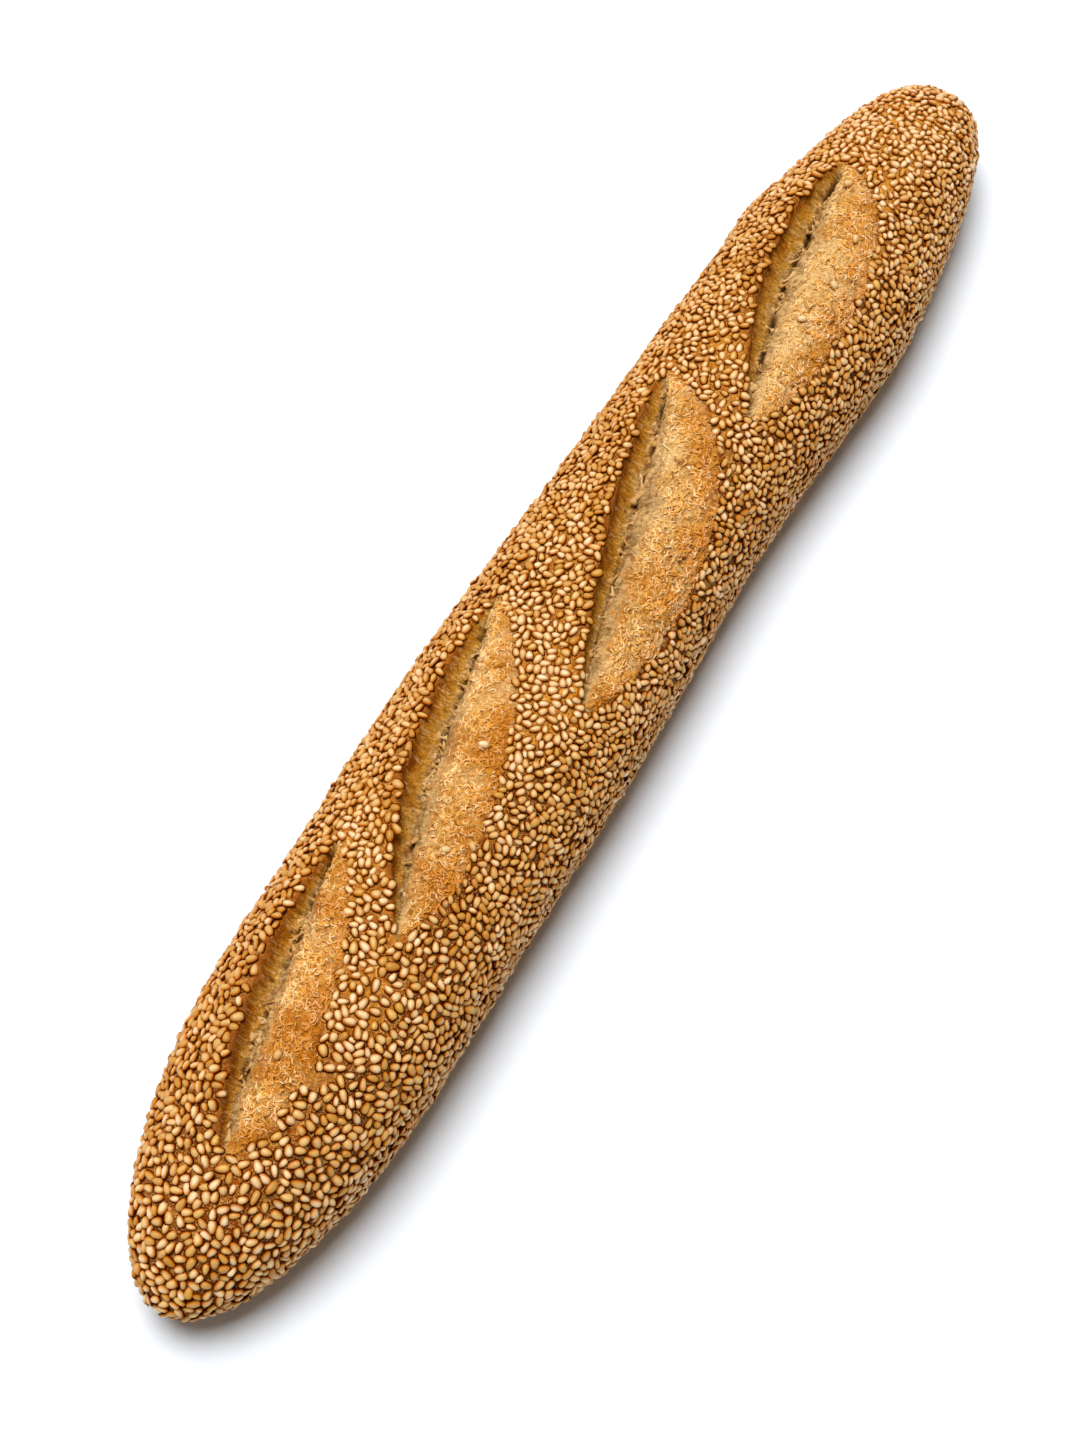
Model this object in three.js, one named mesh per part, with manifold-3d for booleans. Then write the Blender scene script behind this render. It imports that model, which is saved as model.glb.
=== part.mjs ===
// A sesame baguette: one baked loaf, rolled in sesame seeds and slashed four times before baking.
// Millimetres, +Z up. The loaf lies along X on its flat underside, at z = 0, under the middle of its box.
// Its narrower, blunter far end is at +X, and each slash opens towards -Y under the ear on its +Y side.
import * as THREE from "three";
import { mergeVertices } from "three/addons/utils/BufferGeometryUtils.js";
import Module from "manifold-3d";

const wasm = await Module();
wasm.setup();

// The loaf. Its section is widest at the shoulder, and its two tips lie lower than that.
const LENGTH = 424;
const WIDTH = 61.5;
const HEIGHT = 47.5;
const SHOULDER_LEVEL = 0.44 * HEIGHT;
const TIP_LEVEL = 0.75 * SHOULDER_LEVEL;
const UPPER_ROUNDNESS = 2.2; // power of the section's superellipse above the shoulder
const LOWER_ROUNDNESS = 2.6;
const UNDERSIDE_DIP = 3; // how far the round underside would pass the table that flattens it
const UNDERSIDE_LIFT = 0.75; // power by which the underside rises to the tips

// Each end narrows over its reach; a higher fullness gives a blunter tip.
const NEAR_END = { reach: 85, fullness: 1.9 };
const FAR_END = { reach: 140, fullness: 2.8 };

// Hand shaping: the middle line bows and sways, and the sides swell or narrow here and there.
const MIDDLE_Y = -2.9;
const BOW = 2;
const SWAY = -3;
const LEFT_SWELLS = [
  { at: -40, reach: 55, by: 2 },
  { at: 138, reach: 14, by: 2.5 },
];
const RIGHT_SWELLS = [
  { at: 48, reach: 55, by: -4 },
  { at: 125, reach: 16, by: 1 },
];

// The slashes, seen from above: from and to are the ends of the cut. The cut bows towards +Y by bow,
// its wall is wall wide, and the crumb that bursts out is bloom wide, skewed towards its far end.
const SLASHES = [
  { from: [-178, -1], to: [-98, 18], bow: 3.5, wall: 3.2, bloom: 17.5, skew: -0.15 },
  { from: [-112, -9], to: [-19, 19.5], bow: 4.5, wall: 5.4, bloom: 19, skew: -0.05 },
  { from: [-36, -16], to: [65, 15.5], bow: 0.5, wall: 4.5, bloom: 23, skew: 0.2 },
  { from: [62, -12.5], to: [157, 7], bow: 4.5, wall: 6.2, bloom: 22, skew: 0.2 },
];
const OPENING_POWER = 0.65; // shape of the opening's outline along the cut
const CUT_DEPTH = 4.2;
const EAR_LIFT = 2;
const EAR_REACH = 9; // width of crust that lifts with the ear
const BLOOM_CROWN = 0.8;
const WALL_FOOT = 0.5; // the foot of the wall stands this far on the ear's side of the cut's line
const FLOOR_WIDTH = 2;
const BLOOM_KNEE = { across: 5, depth: 2.1 };
const BLOOM_RISE = 10; // from the cut's line to where the bloom reaches the skin
const SWEEP_STEPS = 12;
const SWEPT_SHARE = 0.995; // the cut stops just short of its points
const ABOVE_SKIN = 8;

// Facets of the loaf, and how much of its length is spaced evenly instead of closing up to the tips.
const FACETS_AROUND = 30;
const FACETS_ALONG = 60;
const EVEN_SPACING = 0.3;

// The largest seeds. They are half sunk in the crust and spread evenly in rows.
const SEED_LENGTH = 3.4;
const SEED_WIDTH = 2.2;
const SEED_THICKNESS = 1.6;
const SEED_SIDES = 5;
const SEED_TOP_SHARE = 0.6;
const SEED_SPACING = 14.8;
const SEED_JITTER = 0.3; // share of the spacing
const SEED_TIP_MARGIN = 7;
const SEED_EDGE_MARGIN = 2.2;
const SEED_LOWEST = 5;
const SEED_START = 4021;
const FINE_ANGLES = 180; // steps in which the way round a section is measured

const CRUST_COLOUR = 0xc08238;

const HALF_LENGTH = LENGTH / 2;
const NORMAL_STEP = 0.5;
const MERGE_DISTANCE = 1e-3;

// Even draws from 0 to 1, the same each time: each is the last one's state times a factor, less whole rounds.
function makeRandom(start) {
  const factor = 16807;
  const round = 2 ** 31 - 1;
  let state = start;
  return () => {
    state = (state * factor) % round;
    return state / round;
  };
}

// 0 at an end of the loaf and 1 past the reach over which that end narrows.
function taper(distance, end) {
  const left = 1 - THREE.MathUtils.clamp(distance / end.reach, 0, 1);
  return (1 - left ** 2) ** (1 / end.fullness);
}

function swell(x, swells) {
  return swells.reduce((sum, s) => sum + s.by * Math.exp(-(((x - s.at) / s.reach) ** 2)), 0);
}

// The section of the loaf at x: its middle, its reach to each side, up and down, and its shoulder level.
function section(x) {
  const share = x / HALF_LENGTH;
  const slim = taper(HALF_LENGTH + x, NEAR_END) * taper(HALF_LENGTH - x, FAR_END);
  return {
    middle: MIDDLE_Y + BOW * (1 - share ** 2) + SWAY * (share - share ** 3),
    left: slim * (WIDTH / 2 + swell(x, LEFT_SWELLS)),
    right: slim * (WIDTH / 2 + swell(x, RIGHT_SWELLS)),
    level: TIP_LEVEL + (SHOULDER_LEVEL - TIP_LEVEL) * slim,
    above: (HEIGHT - SHOULDER_LEVEL) * slim,
    below: (SHOULDER_LEVEL + UNDERSIDE_DIP) * slim ** UNDERSIDE_LIFT,
  };
}

// A point of the smooth skin: angle 0 is the ridge, a positive angle turns to the -Y side, PI is below.
function skinPoint(x, angle) {
  const at = section(x);
  const side = Math.sin(angle);
  const lift = Math.cos(angle);
  const power = 2 / (lift > 0 ? UPPER_ROUNDNESS : LOWER_ROUNDNESS);
  const reach = side > 0 ? at.right : at.left;
  const rise = lift > 0 ? at.above : at.below;
  const y = at.middle - reach * Math.sign(side) * Math.abs(side) ** power;
  const z = at.level + rise * Math.sign(lift) * Math.abs(lift) ** power;
  return new THREE.Vector3(x, y, Math.max(z, 0));
}

// The upper skin's height over a place of the plan.
function skinHeight(x, y) {
  const at = section(x);
  const reach = y < at.middle ? at.right : at.left;
  const out = Math.min(Math.abs(y - at.middle) / reach, 1);
  return at.level + at.above * (1 - out ** UPPER_ROUNDNESS) ** (1 / UPPER_ROUNDNESS);
}

// The upper skin's outward direction over a place of the plan.
function skinOutward(x, y) {
  const alongX = skinHeight(x + NORMAL_STEP, y) - skinHeight(x - NORMAL_STEP, y);
  const alongY = skinHeight(x, y + NORMAL_STEP) - skinHeight(x, y - NORMAL_STEP);
  return new THREE.Vector3(-alongX, -alongY, 2 * NORMAL_STEP).normalize();
}

// A slash with its own axes in plan: forward along the cut and across towards the bloom.
function layOut(slash) {
  const from = new THREE.Vector2(...slash.from);
  const to = new THREE.Vector2(...slash.to);
  const forward = to.clone().sub(from).normalize();
  return {
    ...slash,
    middle: from.clone().add(to).multiplyScalar(0.5),
    half: from.distanceTo(to) / 2,
    forward,
    across: new THREE.Vector2(forward.y, -forward.x),
  };
}
const slashes = SLASHES.map(layOut);

// How far the slash has opened at a share of its half length, from 0 at both ends to about 1.
function opening(slash, share) {
  const spread = Math.max(1 - share ** 2, 0) ** OPENING_POWER;
  return spread * (1 + slash.skew * share);
}

// A place of the plan in a slash's own terms: its share of the half length, and its distance from the
// bottom of the cut, positive towards the bloom.
function placeIn(slash, x, y) {
  const offset = new THREE.Vector2(x, y).sub(slash.middle);
  const share = offset.dot(slash.forward) / slash.half;
  return { share, across: offset.dot(slash.across) + slash.bow * (1 - share ** 2) };
}

// The ear's lift and the bloom's low crown, over the skin.
function relief(x, y) {
  let height = 0;
  for (const slash of slashes) {
    const { share, across } = placeIn(slash, x, y);
    const open = opening(slash, share);
    if (open > 0) {
      const lip = -slash.wall * open;
      const rising = THREE.MathUtils.smoothstep(across, lip - EAR_REACH, lip);
      const falling = 1 - THREE.MathUtils.smoothstep(across, lip, lip + EAR_REACH);
      height += EAR_LIFT * open * (across < lip ? rising : falling);
      const bloomShare = across / (slash.bloom * open);
      if (bloomShare > 0 && bloomShare < 1) {
        height += BLOOM_CROWN * open * Math.sin(Math.PI * bloomShare) ** 2;
      }
    }
  }
  return height;
}

function onLoaf(x, y, height) {
  const point = new THREE.Vector3(x, y, skinHeight(x, y));
  return point.addScaledVector(skinOutward(x, y), height);
}

function toSolid(geometry) {
  const bare = geometry.clone();
  bare.deleteAttribute("normal");
  bare.deleteAttribute("uv");
  const merged = mergeVertices(bare, MERGE_DISTANCE);
  return new wasm.Manifold(
    new wasm.Mesh({
      numProp: 3,
      vertProperties: merged.attributes.position.array,
      triVerts: new Uint32Array(merged.index.array),
    }),
  );
}

function toGeometry(solid) {
  const mesh = solid.getMesh();
  const geometry = new THREE.BufferGeometry();
  geometry.setAttribute("position", new THREE.BufferAttribute(mesh.vertProperties, 3));
  geometry.setIndex(new THREE.BufferAttribute(mesh.triVerts, 1));
  geometry.computeVertexNormals();
  return geometry;
}

function moveVertices(geometry, place) {
  const positions = geometry.attributes.position;
  const vertex = new THREE.Vector3();
  for (let i = 0; i < positions.count; i += 1) {
    vertex.fromBufferAttribute(positions, i);
    positions.setXYZ(i, ...place(vertex).toArray());
  }
  return geometry;
}

// The loaf before its cuts: a ball with its poles at the tips, drawn out to the skin and its relief.
function makeLoaf() {
  const ball = new THREE.SphereGeometry(1, FACETS_AROUND, FACETS_ALONG);
  ball.rotateZ(Math.PI / 2);
  return moveVertices(ball, (vertex) => {
    const closing = THREE.MathUtils.clamp(vertex.x, -1, 1);
    const even = (2 / Math.PI) * Math.asin(closing);
    const x = HALF_LENGTH * (EVEN_SPACING * even + (1 - EVEN_SPACING) * closing);
    const point = skinPoint(x, Math.atan2(-vertex.y, vertex.z));
    const height = vertex.z > 0 ? relief(x, point.y) : 0;
    return height > 0 ? onLoaf(x, point.y, height) : point;
  });
}

// The tool that opens one slash: a fin swept along the cut, steep at the ear and gentle at the bloom.
function makeCut(slash) {
  const fin = new THREE.Shape([
    new THREE.Vector2(-slash.wall, ABOVE_SKIN),
    new THREE.Vector2(-slash.wall, EAR_LIFT),
    new THREE.Vector2(-WALL_FOOT, -CUT_DEPTH),
    new THREE.Vector2(FLOOR_WIDTH, -CUT_DEPTH),
    new THREE.Vector2(BLOOM_KNEE.across, -BLOOM_KNEE.depth),
    new THREE.Vector2(BLOOM_RISE, BLOOM_CROWN),
    new THREE.Vector2(BLOOM_RISE, ABOVE_SKIN),
  ]);
  const sweep = new THREE.ExtrudeGeometry(fin, {
    depth: 2,
    steps: SWEEP_STEPS,
    bevelEnabled: false,
  });
  return moveVertices(sweep, (vertex) => {
    const share = SWEPT_SHARE * Math.sin(((1 - vertex.z) * Math.PI) / 2);
    const open = opening(slash, share);
    const across = vertex.x * open - slash.bow * (1 - share ** 2);
    const plan = slash.middle
      .clone()
      .addScaledVector(slash.forward, share * slash.half)
      .addScaledVector(slash.across, across);
    const height = vertex.y < ABOVE_SKIN ? vertex.y * open : ABOVE_SKIN;
    return onLoaf(plan.x, plan.y, height);
  });
}

function inOpening(x, y) {
  return slashes.some((slash) => {
    const { share, across } = placeIn(slash, x, y);
    const open = opening(slash, share);
    const nearest = -slash.wall * open - SEED_EDGE_MARGIN;
    return open > 0 && across > nearest && across < slash.bloom * open + SEED_EDGE_MARGIN;
  });
}

// A seed with few facets, rounded off towards its flat top, half sunk in the skin and turned by spin.
function makeSeed(x, angle, spin) {
  const seed = new THREE.CylinderGeometry(SEED_TOP_SHARE / 2, 0.5, 1, SEED_SIDES);
  seed.rotateX(Math.PI / 2);
  seed.scale(SEED_LENGTH, SEED_WIDTH, SEED_THICKNESS);
  seed.rotateZ(spin);
  const centre = skinPoint(x, angle);
  const ahead = skinPoint(x + NORMAL_STEP, angle).sub(centre);
  const around = skinPoint(x, angle + NORMAL_STEP / WIDTH).sub(centre);
  const outward = around.cross(ahead).normalize();
  const lifted = Math.cos(angle) > 0 ? relief(x, centre.y) : 0;
  centre.addScaledVector(outward, lifted);
  const turn = new THREE.Quaternion().setFromUnitVectors(new THREE.Vector3(0, 0, 1), outward);
  seed.applyQuaternion(turn);
  seed.translate(...centre.toArray());
  return seed;
}

// Angles at equal distances round the section at x, counted from a starting share of one spacing.
function anglesAround(x, spacing, start) {
  const step = (2 * Math.PI) / FINE_ANGLES;
  const lengths = [0];
  for (let i = 1; i <= FINE_ANGLES; i += 1) {
    const before = skinPoint(x, (i - 1) * step);
    lengths.push(lengths[i - 1] + before.distanceTo(skinPoint(x, i * step)));
  }
  const wholeWay = lengths[FINE_ANGLES];
  const count = Math.max(Math.round(wholeWay / spacing), 1);
  const angles = [];
  for (let k = 0; k < count; k += 1) {
    const wanted = (wholeWay * (k + start)) / count;
    angles.push(lengths.findIndex((length) => length >= wanted) * step);
  }
  return angles;
}

function makeSeeds() {
  const random = makeRandom(SEED_START);
  const stray = () => (2 * random() - 1) * SEED_JITTER * SEED_SPACING;
  const last = HALF_LENGTH - SEED_TIP_MARGIN;
  const rows = Math.floor((2 * last) / SEED_SPACING);
  const seeds = [];
  for (let row = 0; row <= rows; row += 1) {
    const rowX = last * ((2 * row) / rows - 1);
    const halfStep = (row % 2) / 2;
    for (const rowAngle of anglesAround(rowX, SEED_SPACING, halfStep)) {
      const x = THREE.MathUtils.clamp(rowX + stray(), -last, last);
      const angle = rowAngle + stray() / (WIDTH / 2);
      const spin = random() * Math.PI;
      const place = skinPoint(x, angle);
      const inSlash = Math.cos(angle) > 0 && inOpening(x, place.y);
      if (place.z > SEED_LOWEST && !inSlash) {
        seeds.push(makeSeed(x, angle, spin));
      }
    }
  }
  return seeds;
}

let solid = toSolid(makeLoaf());
for (const slash of slashes) {
  solid = solid.subtract(toSolid(makeCut(slash)));
}
for (const seed of makeSeeds()) {
  solid = solid.add(toSolid(seed));
}

const crust = new THREE.MeshStandardMaterial({
  color: CRUST_COLOUR,
  roughness: 0.6,
  metalness: 0,
});
const loaf = new THREE.Mesh(toGeometry(solid), crust);
loaf.name = "loaf";

const baguette = new THREE.Group();
baguette.add(loaf);

export default baguette;
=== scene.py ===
import math

import bmesh
import bpy
import numpy as np
from mathutils import Matrix, Vector, noise
from mathutils.bvhtree import BVHTree
from mathutils.kdtree import KDTree


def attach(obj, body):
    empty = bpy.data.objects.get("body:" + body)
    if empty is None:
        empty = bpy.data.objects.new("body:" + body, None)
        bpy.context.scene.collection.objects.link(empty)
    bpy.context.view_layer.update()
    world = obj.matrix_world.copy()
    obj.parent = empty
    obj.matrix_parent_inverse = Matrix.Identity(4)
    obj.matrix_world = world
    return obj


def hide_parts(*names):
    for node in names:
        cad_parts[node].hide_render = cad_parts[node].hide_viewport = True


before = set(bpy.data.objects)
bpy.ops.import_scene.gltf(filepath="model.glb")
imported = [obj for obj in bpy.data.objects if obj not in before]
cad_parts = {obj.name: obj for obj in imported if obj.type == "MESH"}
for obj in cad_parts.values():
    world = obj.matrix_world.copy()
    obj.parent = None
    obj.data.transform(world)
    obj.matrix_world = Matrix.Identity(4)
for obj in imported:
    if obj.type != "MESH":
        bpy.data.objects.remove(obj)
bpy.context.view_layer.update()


# ---- The loaf: crust, ears, blooms and the crumb in the slashes ----
# One piece of wheat dough, rolled by hand to a long even roll with soft ends, proved, and baked on a stone.
# It was slashed four times just before baking: each cut tore open, its +Y edge curled up into a thin ear,
# and the dough below it swelled out into a bloom without seeds. Sizes are in millimetres.
LENGTH, WIDTH, HEIGHT = 424, 61.5, 47.5
SHOULDER_LEVEL = 0.44 * HEIGHT
TIP_LEVEL = 0.75 * SHOULDER_LEVEL
UPPER_ROUNDNESS, LOWER_ROUNDNESS = 2.2, 2.6
UNDERSIDE_DIP, UNDERSIDE_LIFT = 3, 0.75
NEAR_END = {"reach": 85, "fullness": 1.9}
FAR_END = {"reach": 140, "fullness": 2.8}
MIDDLE_Y, BOW, SWAY = -2.9, 2, -3
# Swells of the sides: where along the loaf, how far they reach and how far they stand out.
LEFT_SWELLS = [(-40, 55, 2), (138, 14, 2.5)]
RIGHT_SWELLS = [(48, 55, -4), (125, 16, 1)]
HALF_LENGTH = LENGTH / 2

# Each slash from its -X end to its +X end. The wall and the bloom are its widths to either side of its line,
# the foot is where the wall ends, the crumb is the pale strip beside it, and the skew opens one end more.
SLASHES = [
    {"start": (-178, -1), "end": (-98, 18), "bow": 3.5, "skew": -0.15,
     "wall": 3.2, "foot": 0.5, "crumb": 0.8, "bloom": 17.5},
    {"start": (-112, -9), "end": (-19, 19.5), "bow": 4.5, "skew": -0.05,
     "wall": 5.4, "foot": 0.4, "crumb": 1.2, "bloom": 19},
    {"start": (-36, -16), "end": (65, 15.5), "bow": 0.5, "skew": 0.2,
     "wall": 4.5, "foot": 1.6, "crumb": 3.0, "bloom": 23},
    {"start": (62, -12.5), "end": (157, 7), "bow": 4.5, "skew": 0.2,
     "wall": 6.2, "foot": 0.7, "crumb": 1.8, "bloom": 22},
]
OPENING_POWER = 0.65
CUT_DEPTH, EAR_LIFT, EAR_REACH = 4.2, 2, 9
BLOOM_CROWN, BLOOM_RISE = 0.8, 10   # how high a bloom stands, and how far from the line it gets there
LIP_CURL = 1.1          # how far the ear's thin edge leans over its wall
BROW_WIDTH = 1.3        # rough crust without seeds along the ear's edge
PITS_A_SLASH = 46       # small round pits in the bottom of each cut
SKIN_DEPTH = 0.1        # the crust lies this far under the outline of the seeded loaf
RESTING_GAP = 0.45      # the crust stands on its seeds, this far over the table

# Long holes torn in the bottom of each cut: share of the half length, length, width and depth.
HOLES = [
    [(0.84, 12, 1.9, 2.8), (0.50, 8, 2.0, 2.6), (0.33, 4, 1.5, 2.0), (-0.12, 5, 1.6, 2.2),
     (-0.30, 3, 1.2, 1.6), (-0.50, 6, 1.5, 1.8)],
    [(0.82, 7, 1.8, 2.4), (0.64, 6, 1.8, 2.4), (0.50, 5, 1.7, 2.4), (0.36, 3, 1.3, 1.8), (0.16, 7, 1.4, 2.2),
     (0.02, 4, 1.2, 1.8), (-0.14, 5, 1.2, 1.6), (-0.48, 4, 1.2, 1.4)],
    [(0.80, 7, 1.9, 2.8), (0.66, 5, 1.9, 2.6), (0.55, 5, 1.7, 2.4), (0.36, 4, 1.2, 1.6), (0.22, 3, 1.1, 1.4),
     (-0.06, 9, 1.1, 1.8), (-0.24, 6, 1.1, 1.6), (-0.62, 3, 0.9, 1.2)],
    [(0.80, 15, 2.6, 3.0), (0.46, 13, 2.6, 2.8), (0.22, 6, 1.9, 2.2), (-0.02, 8, 2.2, 2.2),
     (-0.26, 9, 2.2, 2.2), (-0.54, 7, 1.8, 1.8), (-0.78, 3, 1.2, 1.4)],
]


def smooth(value, low, high):
    """0 below low, 1 above high and an S-shaped rise between."""
    share = np.clip((value - low) / (high - low), 0, 1)
    return share * share * (3 - 2 * share)


def taper(distance, end):
    left = 1 - np.clip(distance / end["reach"], 0, 1)
    return (1 - left**2) ** (1 / end["fullness"])


def swell(x, swells):
    return sum(by * np.exp(-(((x - at) / reach) ** 2)) for at, reach, by in swells)


def skin(x, angle):
    """Points of the loaf's smooth skin: angle 0 is the ridge, a positive angle turns to -Y, pi is below."""
    share = x / HALF_LENGTH
    slim = taper(HALF_LENGTH + x, NEAR_END) * taper(HALF_LENGTH - x, FAR_END)
    middle = MIDDLE_Y + BOW * (1 - share**2) + SWAY * (share - share**3)
    left = slim * (WIDTH / 2 + swell(x, LEFT_SWELLS))
    right = slim * (WIDTH / 2 + swell(x, RIGHT_SWELLS))
    level = TIP_LEVEL + (SHOULDER_LEVEL - TIP_LEVEL) * slim
    above = (HEIGHT - SHOULDER_LEVEL) * slim
    below = (SHOULDER_LEVEL + UNDERSIDE_DIP) * slim**UNDERSIDE_LIFT
    side, lift = np.sin(angle), np.cos(angle)
    power = np.where(lift > 0, 2 / UPPER_ROUNDNESS, 2 / LOWER_ROUNDNESS)
    y = middle - np.where(side > 0, right, left) * np.sign(side) * np.abs(side) ** power
    z = level + np.where(lift > 0, above, below) * np.sign(lift) * np.abs(lift) ** power
    return np.stack([x, y, z], -1)


def outward(x, angle):
    """Directions straight out of the skin."""
    step = 0.02
    inner = np.clip(x, -HALF_LENGTH + 0.3, HALF_LENGTH - 0.3)
    along = skin(inner + 0.2, angle) - skin(inner - 0.2, angle)
    around = skin(inner, angle + step) - skin(inner, angle - step)
    straight = np.cross(along, -around)
    straight /= np.maximum(np.linalg.norm(straight, axis=1), 1e-9)[:, None]
    return straight


def grain(points, size, shift=0.0):
    """Smooth random values of about -1 to 1 that change over size millimetres."""
    return np.array([noise.noise(Vector(p)) for p in points / size + shift])


def in_slash(slash, x, y):
    """A place of the plan by the slash: share of the half length, distance from the cut's bottom, opening."""
    start, end = np.array(slash["start"]), np.array(slash["end"])
    half = np.linalg.norm(end - start) / 2
    forward = (end - start) / (2 * half)
    offset_x, offset_y = x - (start[0] + end[0]) / 2, y - (start[1] + end[1]) / 2
    share = (offset_x * forward[0] + offset_y * forward[1]) / half
    across = offset_x * forward[1] - offset_y * forward[0] + slash["bow"] * (1 - share**2)
    opening = np.maximum(1 - share**2, 0) ** OPENING_POWER * (1 + slash["skew"] * share)
    return share, across, opening, half, forward


ROWS_AROUND, ROWS_ALONG, FINE_CUTS, TIP_CLOSING = 128, 280, 3, 0.06
ROW_STEP = math.pi / ROWS_ALONG / (FINE_CUTS + 1)
COLUMN_STEP = 2 * math.pi / ROWS_AROUND / (FINE_CUTS + 1)
HALF_ROWS, HALF_COLUMNS = ROWS_ALONG * (FINE_CUTS + 1) // 2, ROWS_AROUND * (FINE_CUTS + 1) // 2


def spread_along(unit_x):
    """Where a ring of the ball goes along the loaf: even over the length, closing up to the tips."""
    from_tip = 1 - np.abs(np.arcsin(np.clip(unit_x, -1, 1)) * 2 / math.pi)
    distance = from_tip**2 / (from_tip + TIP_CLOSING) * (1 + TIP_CLOSING)
    return np.sign(unit_x) * HALF_LENGTH * (1 - distance)


def on_grid(ball):
    """The row along and the column around of each of the ball's points, as whole numbers of fine steps."""
    co = np.array([v.co for v in ball.verts])
    co /= np.linalg.norm(co, axis=1)[:, None]
    row = np.rint(np.arcsin(np.clip(co[:, 0], -1, 1)) / ROW_STEP).astype(int)
    column = np.rint(np.arctan2(-co[:, 1], co[:, 2]) / COLUMN_STEP).astype(int)
    column[np.abs(row) == HALF_ROWS] = 0
    column[column == -HALF_COLUMNS] = HALF_COLUMNS
    return row, column


def unrolled(row, column):
    """How far along the loaf and at which angle a place of the grid lies."""
    return spread_along(np.sin(row * ROW_STEP)), column * COLUMN_STEP


def in_order(rings):
    """Faces as lists of points, each from its lowest point on, and sorted."""
    return sorted(ring[ring.index(min(ring)):] + ring[:ring.index(min(ring))] for ring in rings)


def sort_points(shape):
    """Puts a small shape's points in an order that depends on their places alone."""
    shape.verts.sort(key=lambda v: (round(v.co.x, 3) * 1000 + round(v.co.y, 3)) * 1000 + round(v.co.z, 3))
    shape.verts.index_update()


ball = bmesh.new()
bmesh.ops.create_uvsphere(ball, u_segments=ROWS_AROUND, v_segments=ROWS_ALONG, radius=1)
bmesh.ops.rotate(ball, verts=ball.verts, cent=(0, 0, 0), matrix=Matrix.Rotation(math.pi / 2, 3, "Y"))
x, angle = unrolled(*on_grid(ball))
plan = skin(x, angle)
fine = np.zeros(len(x), bool)
for slash in SLASHES:
    share, across, opening, _, _ = in_slash(slash, x, plan[:, 1])
    beside = (across > -slash["wall"] * opening - 2.5) & (across < slash["bloom"] * opening + 1.8)
    fine |= (np.cos(angle) > 0) & (np.abs(share) < 1.02) & beside
ball.verts.ensure_lookup_table()
fine_edges = [e for e in ball.edges if fine[e.verts[0].index] and fine[e.verts[1].index]]
bmesh.ops.subdivide_edges(ball, edges=fine_edges, cuts=FINE_CUTS, use_grid_fill=True)
ball.verts.index_update()

# The operators leave points and faces in another order each time, and what is strewn falls by that order, so
# both are sorted by their place in the grid.
row, column = on_grid(ball)
order = np.lexsort((column, row))
rank = np.argsort(order)
rings = in_order([int(rank[v.index]) for v in face.verts] for face in ball.faces)
ball.free()
x, angle = unrolled(row[order], column[order])
place = skin(x, angle)
straight = outward(x, angle)
rise = np.full(len(x), -SKIN_DEPTH)
marks = {name: np.zeros(len(x)) for name in ("open", "cut", "bloom", "hole", "edge", "rim", "ear", "brow")}
cut_place = np.zeros((len(x), 3))
lean = np.zeros((len(x), 3))
small = grain(place, 2.2)
wide = grain(place, 9, 40.0)
curl_noise = grain(place + 0.9 * np.stack([small, wide, small], 1), 1.6, 11.0)
curls = 1 - np.minimum(np.abs(curl_noise) * 4, 1)
lumps = grain(place, 4.5, 63.0)
folds = grain(place * (1, 0.6, 1), 9, 91.0)
cracks = np.clip(1 - 9 * np.abs(grain(place, 8, 17.0)), 0, 1) * smooth(grain(place, 11, 29.0), -0.05, 0.3)
rng = np.random.default_rng(71)
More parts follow.
